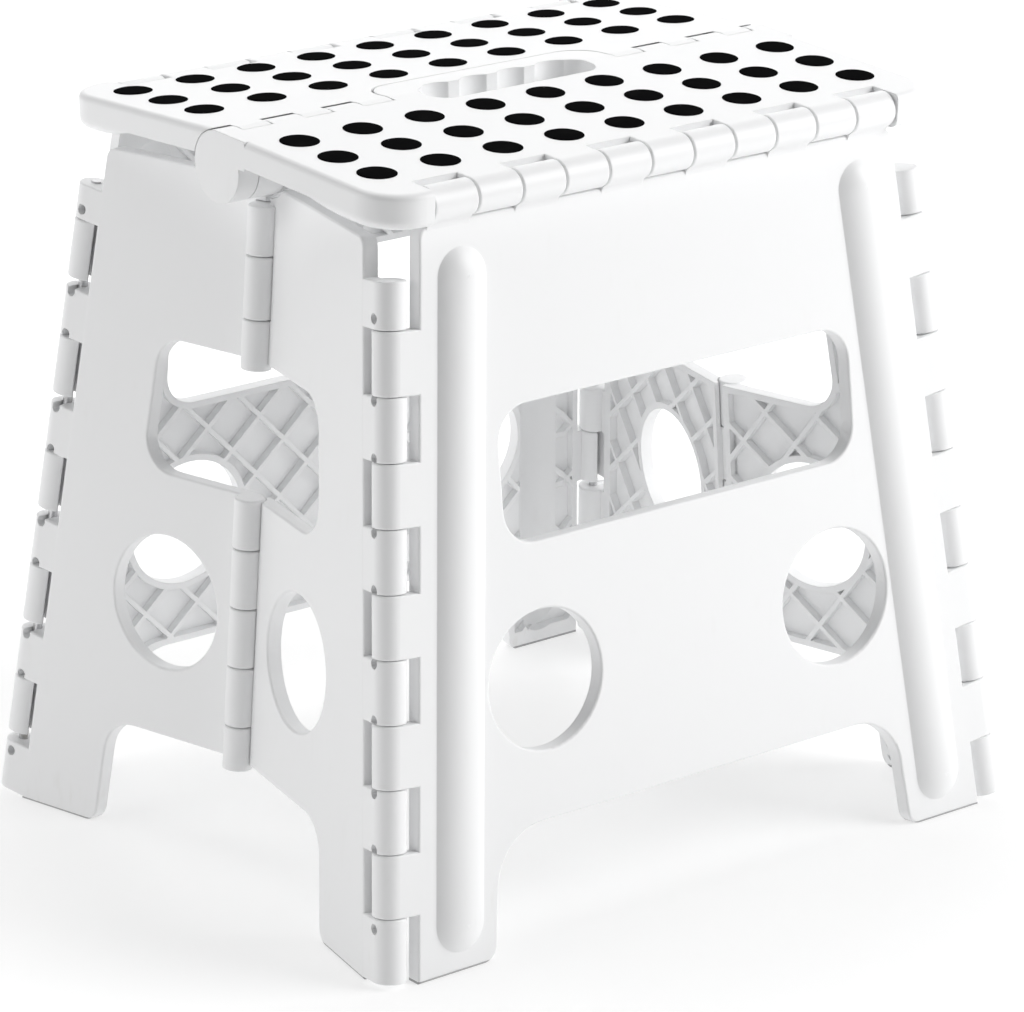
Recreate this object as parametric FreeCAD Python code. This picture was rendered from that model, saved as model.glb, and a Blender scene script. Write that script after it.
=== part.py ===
import FreeCAD, Part
import math
import os

# Folding step stool, in millimetres.  X runs along the width, the front is -Y and the floor is z = 0.

# Overall sizes
TOP_HEIGHT = 320.0
DECK_HALF_WIDTH = 145.3
DECK_REACH = 104.0
FOOT_REACH = 140.4

# Top: two decks that meet in a low ridge
DECK_SLOPE = 2.65
DECK_SKIN = 3.0
DECK_RIM_WIDTH = 3.5
DECK_RIM_DEPTH = 11.0
DECK_CORNER_RADIUS = 20.0
DECK_TOP_EDGE = 2.8
DECK_BOTTOM_EDGE = 4.5
DECK_RIB_DEPTH = 9.0
DECK_RIB_COLUMNS = 4
DECK_RIB_ROWS = (0.42, 0.67)
DECK_UNDERCUT = (14.0, 42.0)
DECK_NOSE_WALL = 4.0
DECK_POCKET_CORNER = 8.0

# Hinge between a deck and its leg panel
BARREL_RADIUS = 7.5
KNUCKLE_PITCH = DECK_HALF_WIDTH / 6.6
KNUCKLE_ROOT = 13.0
KNUCKLE_ROOT_DEPTH = 10.5
NECK_RADIUS = 5.0
NECK_LIFT = 0.97
KNUCKLE_COUNT = 11
HINGE_GAP = 0.7
HINGE_CLEARANCE = 0.5

# Centre hinge and the carrying handle
CENTER_RADIUS = 15.0
CENTER_STEPS = (10.1, 14.8, 16.1, 14.5, 15.3, 15.5)
CENTER_GAP = 0.5
CENTER_CLEARANCE = 2.0
CENTER_WALL = 4.0
CENTER_PIN_RADIUS = 2.5
CENTER_PIN_INSIDE = 9.0
CENTER_PIN_OUTSIDE = 2.5
TONGUE_REACH = 20.0
TONGUE_DEPTH = 14.0
TONGUE_CORNER = 14.0
TONGUE_GAP = 0.8
CHEEK_WIDTH = 10.0
HANDLE_END = 14.5
HANDLE_FRONT = -15.0
HANDLE_REAR = 6.0
HANDLE_SPARE = 0.35
HANDLE_ROUNDING = 0.45
FINGERS = 4
FINGER_INSET = 7.0

# Leg panels
PANEL_THICKNESS = 6.5
PANEL_WALL = 3.0
PANEL_EDGE_SETBACK = 9.3
PANEL_TOP_CORNER = 6.0
WINDOW_HALF_WIDTH = 0.64 * DECK_HALF_WIDTH
WINDOW_BOTTOM = 0.5166 * TOP_HEIGHT
WINDOW_TOP = 0.6919 * TOP_HEIGHT
WINDOW_CORNER = 15.0
HOLE_OFFSET = 0.5382 * DECK_HALF_WIDTH
HOLE_HEIGHT = 0.3394 * TOP_HEIGHT
HOLE_RADIUS = 29.0
ARCH_INSET = 49.3
ARCH_HEIGHT = 0.1594 * TOP_HEIGHT
ARCH_TAPER = 6.3
ARCH_CORNER = 25.0
BEAD_WIDTH = 24.0
BEAD_HEIGHT = 5.0
BEAD_INSET = 30.2
BEAD_BOTTOM = 0.0625 * TOP_HEIGHT
BEAD_TOP = 0.8656 * TOP_HEIGHT

# Corner hinges between leg panels and side panels
CORNER_FOOT_X = DECK_HALF_WIDTH + 17.3
CORNER_LEAN = 0.0985
CORNER_DEPTH = 7.0
HOOK_RADIUS = 7.0
CORNER_KNUCKLE_RADIUS = 6.9
CORNER_FIRST_ROW = 0.0875 * TOP_HEIGHT
CORNER_ROW = 0.0806 * TOP_HEIGHT
CORNER_ROWS = 10
CORNER_TOP = TOP_HEIGHT - 40.5
CORNER_GAP = 0.4
CORNER_PIN_INSET = 3.0
REAR_CORNER_RISE = 3.9
REAR_CORNER_SLACK = 2.2
REAR_CORNER_PLAY = 0.8
PEEP_RADIUS = 2.2
PEEP_INSET = 1.6
END_PEEP_INSET = 4.6

# Side panels, each of two halves that fold inwards
SIDE_THICKNESS = 6.5
SIDE_WALL = 3.0
SIDE_EDGE = 9.5
SIDE_TOP = TOP_HEIGHT - 26.0
SIDE_TOP_CORNER = 5.0
SIDE_MEET = 0.6
SIDE_WINDOW_START = 0.3704 * FOOT_REACH
SIDE_WINDOW_BOTTOM = 0.5063 * TOP_HEIGHT
SIDE_WINDOW_TOP = 0.6859 * TOP_HEIGHT
SIDE_WINDOW_CORNER = 14.0
SIDE_HOLE_OFFSET = 0.5292 * FOOT_REACH
SIDE_HOLE_HEIGHT = 0.3328 * TOP_HEIGHT
SIDE_HOLE_RADIUS = 0.2051 * FOOT_REACH
SIDE_ARCH_START = 0.3739 * FOOT_REACH
SIDE_ARCH_HEIGHT = 0.15 * TOP_HEIGHT
SIDE_ARCH_CORNER = 16.0
MID_FOOT_X = DECK_HALF_WIDTH - 2.3
MID_OFFSET = 2.5
MID_RADIUS = 6.4
MID_UPPER = tuple(share * TOP_HEIGHT for share in (0.678, 0.7453, 0.8281, 0.8938))
MID_LOWER = tuple(share * TOP_HEIGHT for share in (0.1422, 0.2025, 0.2828, 0.3622, 0.4413, 0.5094))
MID_GAP = 0.5
MID_PIN_INSET = 1.0

# Small parts
PIN_RADIUS = 2.0
PIN_CLEARANCE = 0.05
PIN_END_GAP = 0.3
PAD_THICKNESS = 1.0
DOT_DIAMETER = 16.3
DOT_HEIGHT = 0.6
DOT_COLUMNS = 9
DOT_COLUMN_PITCH = 0.2163 * DECK_HALF_WIDTH
DOT_ROWS = 3
DOT_ROW_PITCH = 0.2433 * DECK_REACH
FRONT_DOT_START = 0.2827 * DECK_REACH
REAR_DOT_START = 0.3423 * DECK_REACH

# Ribs and edges of the mouldings
LATTICE_CELL = 19.7
LATTICE_ANGLE = 45.0
RIB_WIDTH = 2.2
RIM_WIDTH = 3.0
FOOT_RIM = 9.0
FOOT_CORNER = 7.0
EDGE_RADIUS = 1.0
CORNER_SHARE = 0.98
KNUCKLE_EDGE = 0.7
FAR = 2 * (TOP_HEIGHT + FOOT_REACH)

V = FreeCAD.Vector
X_AXIS = V(1, 0, 0)
Y_AXIS = V(0, 1, 0)
Z_AXIS = V(0, 0, 1)
ORIGIN = V(0, 0, 0)


class Axes:
    """A right-handed local frame that can place shapes in the world."""

    def __init__(self, origin, x, y):
        self.origin = origin
        self.x = V(x).normalize()
        self.z = V(x).cross(y).normalize()
        self.y = self.z.cross(self.x)

    def place(self, shape):
        """Return a copy of a locally built shape in world coordinates."""
        m = FreeCAD.Matrix(
            self.x.x, self.y.x, self.z.x, self.origin.x,
            self.x.y, self.y.y, self.z.y, self.origin.y,
            self.x.z, self.y.z, self.z.z, self.origin.z,
            0, 0, 0, 1)
        placed = shape.copy()
        placed.Placement = FreeCAD.Placement(m)
        return placed

    def world(self, x, y, z):
        """Return the world position of a local point."""
        return self.origin + self.x * x + self.y * y + self.z * z

    def local(self, point):
        """Return the local coordinates of a world point."""
        d = point - self.origin
        return V(d.dot(self.x), d.dot(self.y), d.dot(self.z))


def outline(points, radii=None):
    """Return a closed planar face from corner points, each rounded by its radius."""
    count = len(points)
    radii = radii or [0.0] * count
    corners = []
    for i in range(count):
        before = i - 1
        after = (i + 1) % count
        p = V(points[i][0], points[i][1], 0)
        a = V(points[before][0], points[before][1], 0) - p
        b = V(points[after][0], points[after][1], 0) - p
        if radii[i] <= 0:
            corners.append((p, None, p))
            continue
        half = a.getAngle(b) / 2
        room_before = CORNER_SHARE * a.Length * radii[i] / (radii[i] + radii[before])
        room_after = CORNER_SHARE * b.Length * radii[i] / (radii[i] + radii[after])
        back = min(radii[i] / math.tan(half), room_before, room_after)
        a.normalize()
        b.normalize()
        bisector = (a + b).normalize()
        radius = back * math.tan(half)
        middle = p + bisector * (radius / math.sin(half) - radius)
        corners.append((p + a * back, middle, p + b * back))
    edges = []
    for i in range(count):
        start, middle, end = corners[i]
        if middle is not None:
            edges.append(Part.Arc(start, middle, end).toShape())
        following = corners[(i + 1) % count][0]
        if (following - end).Length > 1e-6:
            edges.append(Part.makeLine(end, following))
    return Part.Face(Part.Wire(edges))


def prism(points, low, high, radii=None):
    """Extrude a rounded polygon along local Z."""
    face = outline(points, radii)
    face.translate(V(0, 0, low))
    return face.extrude(V(0, 0, high - low))


def box(x0, x1, y0, y1, z0, z1):
    """Return a box between two corners."""
    return Part.makeBox(x1 - x0, y1 - y0, z1 - z0, V(x0, y0, z0))


def rod(start, end, radius):
    """Return a round bar between two points."""
    return Part.makeCylinder(radius, (end - start).Length, start, end - start)


def x_rod(x0, x1, y, z, radius):
    """Return a round bar along X."""
    return rod(V(x0, y, z), V(x1, y, z), radius)


def soft_rod(start, end, radius):
    """Return a round bar between two points whose ends have soft edges."""
    bar = rod(start, end, radius)
    return bar.makeFillet(KNUCKLE_EDGE, [edge for edge in bar.Edges if edge.isClosed()])


def soften(shape, radius, chosen):
    """Round the edges of a shape whose bounding boxes pass a test."""
    return shape.makeFillet(radius, [edge for edge in shape.Edges if chosen(edge.BoundBox)])


def section_x(points, x0, x1):
    """Extrude a polygon of (y, z) points along X."""
    wire = Part.makePolygon([V(x0, y, z) for y, z in points + points[:1]])
    return Part.Face(wire).extrude(V(x1 - x0, 0, 0))


def half_turn(shape):
    """Turn a shape by half a turn about the vertical centre line."""
    turned = shape.copy()
    turned.rotate(ORIGIN, Z_AXIS, 180)
    return turned


def mirror_x(shape):
    """Mirror a shape from left to right."""
    return shape.mirror(ORIGIN, X_AXIS)


def mirror_y(shape):
    """Mirror a shape from front to rear."""
    return shape.mirror(ORIGIN, Y_AXIS)


def slab(low, high):
    """Return a large horizontal slab."""
    return box(-FAR, FAR, -FAR, FAR, low, high)


# Hinge axes that all parts share
SLOPE = math.radians(DECK_SLOPE)
BARREL_Y = DECK_REACH * math.cos(SLOPE) - BARREL_RADIUS * math.sin(SLOPE)
BARREL_Z = TOP_HEIGHT - DECK_REACH * math.sin(SLOPE) - BARREL_RADIUS * math.cos(SLOPE)
CENTER_Z = TOP_HEIGHT - CENTER_RADIUS / math.cos(SLOPE)
TILT = math.atan((FOOT_REACH - BARREL_Y) / BARREL_Z)
PANEL = Axes(V(0, -FOOT_REACH, 0), X_AXIS, V(0, math.sin(TILT), math.cos(TILT)))
PANEL_TOP = BARREL_Z / math.cos(TILT)
CORNER_FOOT = V(-CORNER_FOOT_X, -FOOT_REACH + CORNER_DEPTH / math.cos(TILT), 0)
CORNER_DIRECTION = V(CORNER_LEAN, math.tan(TILT), 1).normalize()
CORNER = Axes(CORNER_FOOT, CORNER_DIRECTION.cross(PANEL.z), CORNER_DIRECTION)
MID_FOOT = V(-MID_FOOT_X, 0, 0)


def side_normal(lean):
    """Return the outward normal of the front left half for a lean of the middle hinge."""
    normal = CORNER_DIRECTION.cross(V(lean, 0, 1)).normalize()
    return normal if normal.x < 0 else normal * -1


def middle_lean():
    """Find the lean of the middle hinge that keeps it at its offset from the outer face."""
    low = 0.0
    high = CORNER_LEAN
    wanted = CORNER_DEPTH + MID_OFFSET
    for _ in range(60):
        lean = (low + high) / 2
        if (MID_FOOT - CORNER_FOOT).dot(side_normal(lean)) > wanted:
            low = lean
        else:
            high = lean
    return (low + high) / 2


MID_LEAN = middle_lean()
MID_DIRECTION = V(MID_LEAN, 0, 1).normalize()
SIDE_OUT = side_normal(MID_LEAN)
SIDE = Axes(CORNER_FOOT + SIDE_OUT * CORNER_DEPTH, SIDE_OUT.cross(CORNER_DIRECTION), CORNER_DIRECTION)


def corner_point(height):
    """Return the point of the front left corner axis at a height."""
    return CORNER_FOOT + CORNER_DIRECTION * (height / CORNER_DIRECTION.z)


def mid_point(height):
    """Return the point of the left middle axis at a height."""
    return MID_FOOT + MID_DIRECTION * (height / MID_DIRECTION.z)


def corner_rows():
    """Return the height ranges of the side knuckles and of the panel hooks."""
    edges = [PAD_THICKNESS + CORNER_GAP]
    edges += [CORNER_FIRST_ROW + CORNER_ROW * i for i in range(CORNER_ROWS)]
    edges.append(CORNER_TOP)
    rows = list(zip(edges[:-1], edges[1:]))
    return rows[0::2], rows[1::2]


KNUCKLE_ROWS, HOOK_ROWS = corner_rows()
CORNER_PIN_LOW = PAD_THICKNESS + CORNER_PIN_INSET
CORNER_PIN_HIGH = CORNER_TOP - CORNER_PIN_INSET


def pocket_cells(pocket, keep, center, low, high):
    """Return the cells that crossed ribs about a point leave of a pocket, clear of what is kept."""
    cells = pocket.cut(keep)
    count = int(0.5 * FAR / LATTICE_CELL)
    for turn in (LATTICE_ANGLE, -LATTICE_ANGLE):
        bars = []
        for i in range(-count, count + 1):
            offset = i * LATTICE_CELL
            bar = box(-FAR, FAR, offset - RIB_WIDTH / 2, offset + RIB_WIDTH / 2, low, high)
            bar.rotate(ORIGIN, Z_AXIS, turn)
            bar.translate(center)
            if bar.BoundBox.intersect(cells.BoundBox):
                bars.append(bar)
        cells = cells.cut(bars)
    return cells


# Leg panels
def panel_v(height):
    """Return the distance up the panel face of a height."""
    return height / math.cos(TILT)


def panel_edge(v):
    """Return the half width of the panel face at a distance up the face."""
    return CORNER_FOOT_X - CORNER_LEAN * v * math.cos(TILT) - PANEL_EDGE_SETBACK


def panel_outline(inset):
    """Return the corner points of the panel face, pulled in by an inset."""
    bottom = -PANEL_THICKNESS
    top = PANEL_TOP - BARREL_RADIUS - HINGE_CLEARANCE
    low_edge = panel_edge(bottom) - inset
    high_edge = panel_edge(top) - inset
    return [(-low_edge, bottom + inset), (low_edge, bottom + inset),
            (high_edge, top - inset), (-high_edge, top - inset)]


def panel_openings(grow):
    """Return the window, the holes and the arch over the floor of a panel, grown by an amount."""
    x = WINDOW_HALF_WIDTH + grow
    y0 = panel_v(WINDOW_BOTTOM) - grow
    y1 = panel_v(WINDOW_TOP) + grow
    window = prism([(-x, y0), (x, y0), (x, y1), (-x, y1)], -FAR, FAR, [WINDOW_CORNER + grow] * 4)
    height = panel_v(HOLE_HEIGHT)
    places = [V(side * HOLE_OFFSET, height, -FAR) for side in (-1, 1)]
    holes = [Part.makeCylinder(HOLE_RADIUS + grow, 2 * FAR, place) for place in places]
    foot = CORNER_FOOT_X - ARCH_INSET + grow
    crown = foot - ARCH_TAPER
    top = panel_v(ARCH_HEIGHT) + grow
    r = FOOT_CORNER - grow
    arch = prism([(-FAR, -FAR), (FAR, -FAR), (FAR, grow), (foot, grow),
                  (crown, top), (-crown, top), (-foot, grow), (-FAR, grow)],
                 -FAR, FAR, [0, 0, 0, r, ARCH_CORNER, ARCH_CORNER, r, 0])
    return [window, arch] + holes


def round_ended(start, end, radius):
    """Return a round bar between two points with ball ends."""
    return rod(start, end, radius).fuse([Part.makeSphere(radius, start), Part.makeSphere(radius, end)])


def panel_bead(side):
    """Return the long raised bead near one edge of a panel, and the hollow behind it."""
    half = BEAD_WIDTH / 2
    radius = (half ** 2 + BEAD_HEIGHT ** 2) / (2 * BEAD_HEIGHT)
    inset = BEAD_INSET - PANEL_EDGE_SETBACK
    ends = []
    for v in (panel_v(BEAD_BOTTOM), panel_v(BEAD_TOP)):
        ends.append(V(side * (panel_edge(v) - inset), v, BEAD_HEIGHT - radius))
    front = box(-FAR, FAR, -FAR, FAR, -PANEL_WALL, FAR)
    return round_ended(*ends, radius).common(front), round_ended(*ends, radius - PANEL_WALL)


def panel_hooks(play, slack):
    """Return the hooks of the left edge that hold the corner pin, open towards the inside."""
    reach = PANEL_EDGE_SETBACK + RIM_WIDTH
    slot = PIN_RADIUS + play
    hooks = []
    for low, high in HOOK_ROWS:
        y0 = low / CORNER_DIRECTION.z + CORNER_GAP / 2
        y1 = high / CORNER_DIRECTION.z - CORNER_GAP / 2
        barrel = soft_rod(V(0, y0, 0), V(0, y1, 0), HOOK_RADIUS)
        arm = box(0, reach, y0, y1, CORNER_DEPTH - PANEL_THICKNESS, CORNER_DEPTH)
        arm = soften(arm, KNUCKLE_EDGE, lambda b: b.ZMin > CORNER_DEPTH - 0.01 and b.XLength > 1)
        mouth = box(-slot, slot, y0 - 1, y1 + 1, -FAR, slack)
        bore = rod(V(0, y0 - 1, slack), V(0, y1 + 1, slack), slot)
        hooks.append(CORNER.place(barrel.fuse(arm).cut([mouth, bore])))
    return hooks


def knuckle_spans():
    """Return the X ranges of the panel knuckles and of the deck knuckles."""
    half = (KNUCKLE_PITCH - HINGE_GAP) / 2
    panel = [(s * KNUCKLE_PITCH * k - half, s * KNUCKLE_PITCH * k + half) for k in (1, 3, 5) for s in (-1, 1)]
    deck = [(KNUCKLE_PITCH * k - half, KNUCKLE_PITCH * k + half) for k in (-4, -2, 0, 2, 4)]
    return panel, deck


def panel_knuckles():
    """Return the knuckles along the top of a panel, each with a hollow neck, in the panel frame."""
    drop = math.sqrt(BARREL_RADIUS ** 2 + 2 * BARREL_RADIUS * NECK_RADIUS)
    share = BARREL_RADIUS / (BARREL_RADIUS + NECK_RADIUS)
    neck = [(PANEL_TOP - drop, 0), (PANEL_TOP - drop * share, NECK_RADIUS * share), (PANEL_TOP, 0),
            (PANEL_TOP - BARREL_RADIUS / 2, -PANEL_THICKNESS), (PANEL_TOP - drop, -PANEL_THICKNESS)]
    hollow = x_rod(-FAR, FAR, PANEL_TOP - drop, NECK_LIFT * NECK_RADIUS, NECK_RADIUS)
    knuckles = []
    for x0, x1 in knuckle_spans()[0]:
        knuckles.append(soft_rod(V(x0, PANEL_TOP, 0), V(x1, PANEL_TOP, 0), BARREL_RADIUS))
        knuckles.append(section_x(neck, x0, x1).cut(hollow))
    return knuckles


def panel_plate():
    """Return a front leg panel without its hooks, and the soles of its two feet."""
    corner = PANEL_TOP_CORNER
    blank = prism(panel_outline(0), -PANEL_THICKNESS, 0, [0, 0, corner, corner]).cut(panel_openings(0))
    blank = soften(blank, EDGE_RADIUS, lambda b: b.ZMin > -0.01)
    soles = PANEL.place(blank).common(slab(0, PAD_THICKNESS))
    beads = [panel_bead(side) for side in (-1, 1)]
    pocket = prism(panel_outline(RIM_WIDTH), -2 * PANEL_THICKNESS, -PANEL_WALL)
    keep = panel_openings(RIM_WIDTH)
    keep.append(box(-FAR, FAR, -FAR, FOOT_RIM, -FAR, FAR))
    center = V(0, panel_v(WINDOW_BOTTOM), 0)
    body = blank.cut(pocket_cells(pocket, keep, center, -2 * PANEL_THICKNESS, 0))
    body = body.fuse(panel_knuckles() + [bead for bead, _ in beads])
    bore = x_rod(-FAR, FAR, PANEL_TOP, 0, PIN_RADIUS + PIN_CLEARANCE)
    body = PANEL.place(body.cut([bore] + [hollow for _, hollow in beads]))
    return body.cut(slab(-FAR, PAD_THICKNESS)), soles


def make_panel(plate, play, slack):
    """Return a front leg panel with hooks on both edges."""
    hooks = panel_hooks(play, slack)
    return plate.fuse(hooks + [mirror_x(hook) for hook in hooks])


# Decks
DECK = Axes(V(0, 0, TOP_HEIGHT), X_AXIS, V(0, math.cos(SLOPE), math.sin(SLOPE)))
CENTER_EDGES = [DECK_HALF_WIDTH - sum(CENTER_STEPS[:i]) for i in range(len(CENTER_STEPS) + 1)]
TONGUE_HALF_WIDTH = CENTER_EDGES[-1] - TONGUE_GAP
HANDLE_HALF_WIDTH = TONGUE_HALF_WIDTH - HANDLE_END
TOP_PIN_HALF = CENTER_EDGES[1]


def tab_spans():
    """Return the X ranges of the front and the rear tabs of the centre hinge, right side only."""
    gap = CENTER_GAP / 2
    spans = [(low + gap, high - gap) for high, low in zip(CENTER_EDGES[:-1], CENTER_EDGES[1:])]
    spans[0] = (spans[0][0], CENTER_EDGES[0])
    return spans[0::2], spans[1::2]


def both_sides(spans):
    """Return X ranges with their mirror images."""
    return list(spans) + [(-high, -low) for low, high in spans]


def deck_blank():
    """Return the rounded slab that a deck is made from, in the deck frame."""
    w = DECK_HALF_WIDTH
    nose = -DECK_REACH - BARREL_RADIUS
    depth = 2 * BARREL_RADIUS
    r = DECK_CORNER_RADIUS
    blank = prism([(-w, nose), (w, nose), (w, 0), (-w, 0)], -depth, 0, [r, r, 0, 0])
    blank = soften(blank, DECK_TOP_EDGE, lambda b: b.ZMin > -0.01 and b.YMin < -0.01)
    blank = soften(blank, DECK_BOTTOM_EDGE, lambda b: b.ZMax < 0.01 - depth and b.YMin < -0.01)
    start, end = (edge - DECK_REACH for edge in DECK_UNDERCUT)
    under = [(start, -depth - 1), (end, -DECK_RIM_DEPTH), (1, -DECK_RIM_DEPTH), (1, -depth - 1)]
    return blank.cut(section_x(under, -FAR, FAR))


def deck_pocket():
    """Return the hollow under a deck between its ribs, in the deck frame."""
    w = DECK_HALF_WIDTH - DECK_RIM_WIDTH
    inner = -DECK_REACH + BARREL_RADIUS + DECK_NOSE_WALL
    r = DECK_POCKET_CORNER
    plan = [(-w, inner), (w, inner), (w, CENTER_RADIUS), (-w, CENTER_RADIUS)]
    pocket = prism(plan, -FAR, -DECK_SKIN, [r, r, 0, 0])
    half = RIB_WIDTH / 2
    wall = -CENTER_RADIUS - CENTER_CLEARANCE
    pitch = DECK_HALF_WIDTH / (DECK_RIB_COLUMNS + 1)
    columns = [pitch * i for i in range(-DECK_RIB_COLUMNS, DECK_RIB_COLUMNS + 1)]
    ribs = [box(x - half, x + half, -FAR, wall, -DECK_RIB_DEPTH, 0) for x in columns]
    rows = [-DECK_REACH * share for share in DECK_RIB_ROWS]
    ribs += [box(-FAR, FAR, y - half, y + half, -DECK_RIB_DEPTH, 0) for y in rows]
    ribs.append(box(-FAR, FAR, wall - CENTER_WALL, wall, -DECK_RIM_DEPTH, 0))
    return pocket.cut(ribs)


def deck_knuckles():
    """Return the knuckles along the nose of a deck with their roots, in the deck frame."""
    knuckles = []
    for x0, x1 in knuckle_spans()[1]:
        y = -DECK_REACH
        z = -BARREL_RADIUS
        knuckles.append(soft_rod(V(x0, y, z), V(x1, y, z), BARREL_RADIUS))
        root = box(x0, x1, y, y + KNUCKLE_ROOT, -KNUCKLE_ROOT_DEPTH, 0)
        knuckles.append(soften(root, KNUCKLE_EDGE, lambda b: b.ZMin > -0.01 and b.YLength > 1))
    return knuckles


def deck_shell():
    """Return one deck without its centre hinge, in the deck frame."""
    body = deck_blank().cut(deck_pocket())
    end = (KNUCKLE_PITCH * KNUCKLE_COUNT + HINGE_GAP) / 2
    body = body.cut(box(-end, end, -FAR, -DECK_REACH + BARREL_RADIUS + HINGE_CLEARANCE, -FAR, FAR))
    body = body.fuse(deck_knuckles())
    bore = PIN_RADIUS + PIN_CLEARANCE
    return body.cut(x_rod(-TOP_PIN_HALF, TOP_PIN_HALF, -DECK_REACH, -BARREL_RADIUS, bore))


def roof():
    """Return the space under both sloping top faces."""
    y = FOOT_REACH
    low = TOP_HEIGHT - y * math.tan(SLOPE)
    floor = TOP_HEIGHT / 2
    return section_x([(-y, low), (0, TOP_HEIGHT), (y, low), (y, floor), (-y, floor)], -FAR, FAR)


def center_discs(spans, radius):
    """Return discs about the centre axis over the given X ranges."""
    return [x_rod(x0, x1, 0, CENTER_Z, radius) for x0, x1 in spans]


def make_tongue():
    """Return the front deck's handle tongue and the hole through it, with finger scallops."""
    w = TONGUE_HALF_WIDTH
    plan = [(-w, -2 * CENTER_RADIUS), (w, -2 * CENTER_RADIUS), (w, TONGUE_REACH), (-w, TONGUE_REACH)]
    r = TONGUE_CORNER
    tongue = prism(plan, TOP_HEIGHT - TONGUE_DEPTH, FAR, [0, 0, r, r]).common(roof())
    cheeks = center_discs(both_sides([(w - CHEEK_WIDTH, w)]), CENTER_RADIUS - CENTER_GAP)
    h = HANDLE_HALF_WIDTH
    r = HANDLE_ROUNDING * (HANDLE_REAR - HANDLE_FRONT)
    opening = [(-h, HANDLE_FRONT), (h, HANDLE_FRONT), (h, HANDLE_REAR), (-h, HANDLE_REAR)]
    hole = prism(opening, 0, FAR, [r] * 4)
    pitch = 2 * h / (FINGERS + HANDLE_SPARE)
    fingers = []
    for i in range(FINGERS):
        at = V(pitch * (i - (FINGERS - 1) / 2), HANDLE_REAR - FINGER_INSET, 0)
        fingers.append(Part.makeCylinder(pitch / 2, FAR, at))
    return tongue.fuse([cheek.common(roof()) for cheek in cheeks]), [hole] + fingers


def tongue_clearance():
    """Return the space that the rear deck leaves for the tongue."""
    w = CENTER_EDGES[-1]
    reach = TONGUE_REACH + TONGUE_GAP
    plan = [(-w, -4 * CENTER_RADIUS), (w, -4 * CENTER_RADIUS), (w, reach), (-w, reach)]
    return prism(plan, 0, FAR, [0, 0, TONGUE_CORNER, TONGUE_CORNER])


def tab_roots(spans):
    """Return blocks that tie front tabs to the front deck, in world coordinates."""
    back = -CENTER_RADIUS - CENTER_CLEARANCE - CENTER_WALL / 2
    blocks = [box(x0, x1, back, 0, CENTER_Z + CENTER_CLEARANCE, FAR) for x0, x1 in spans]
    return [block.common(roof()) for block in blocks]


def center_pin_span(gap):
    """Return the X range of the right centre pin, shortened by a gap at each end."""
    return TONGUE_HALF_WIDTH - CENTER_PIN_INSIDE + gap, DECK_HALF_WIDTH - CENTER_PIN_OUTSIDE - gap


def center_bores():
    """Return the bores of the two centre pins."""
    spans = both_sides([center_pin_span(0)])
    return center_discs(spans, CENTER_PIN_RADIUS + PIN_CLEARANCE)


def make_front_deck():
    """Return the front deck with its tabs and handle tongue."""
    shell = DECK.place(deck_shell())
    own, other = (both_sides(spans) for spans in tab_spans())
    wide = [(x0 - CENTER_GAP, x1 + CENTER_GAP) for x0, x1 in other]
    shell = shell.cut(center_discs(wide, CENTER_RADIUS + CENTER_GAP))
    tongue, hole = make_tongue()
    body = shell.fuse(center_discs(own, CENTER_RADIUS) + tab_roots(own) + [tongue])
    return body.cut(hole + center_bores())


def make_rear_deck():
    """Return the rear deck, notched for the front tabs and the tongue."""
    shell = half_turn(DECK.place(deck_shell()))
    other, own = (both_sides(spans) for spans in tab_spans())
    wide = [(x0 - CENTER_GAP, x1 + CENTER_CLEARANCE) for x0, x1 in other if x0 > 0]
    shell = shell.cut(center_discs(both_sides(wide), CENTER_RADIUS + CENTER_GAP) + [tongue_clearance()])
    roots = [mirror_y(block) for block in tab_roots(own)]
    body = shell.fuse(center_discs(own, CENTER_RADIUS) + roots)
    return body.cut([tongue_clearance()] + center_bores())


def make_dots(start):
    """Return the grip dots of a front deck whose first row lies at a distance from the ridge."""
    dots = []
    half = (DOT_COLUMNS - 1) / 2
    for row in range(DOT_ROWS):
        for column in range(DOT_COLUMNS):
            at = V((column - half) * DOT_COLUMN_PITCH, -start - row * DOT_ROW_PITCH, 0)
            dots.append(DECK.place(Part.makeCylinder(DOT_DIAMETER / 2, DOT_HEIGHT, at)))
    return Part.makeCompound(dots)


# Side panels
def side_q(p, height):
    """Return the local height of a point of a side half's outer face that lies at a world height."""
    return (height - SIDE.origin.z - p * SIDE.x.z) / SIDE.y.z


def mid_p(height):
    """Return the local distance of the middle axis from the corner axis at a height."""
    return SIDE.local(mid_point(height)).x


def side_outline(inset):
    """Return the corner points of a side half, pulled in by an inset."""
    edge = SIDE_EDGE + inset
    meet = SIDE_MEET + inset
    return [(edge, side_q(edge, -SIDE_EDGE)), (edge, side_q(edge, SIDE_TOP - inset)),
            (mid_p(SIDE_TOP) - meet, side_q(mid_p(SIDE_TOP), SIDE_TOP - inset)),
            (mid_p(0) - meet, side_q(mid_p(0), 0))]


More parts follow.
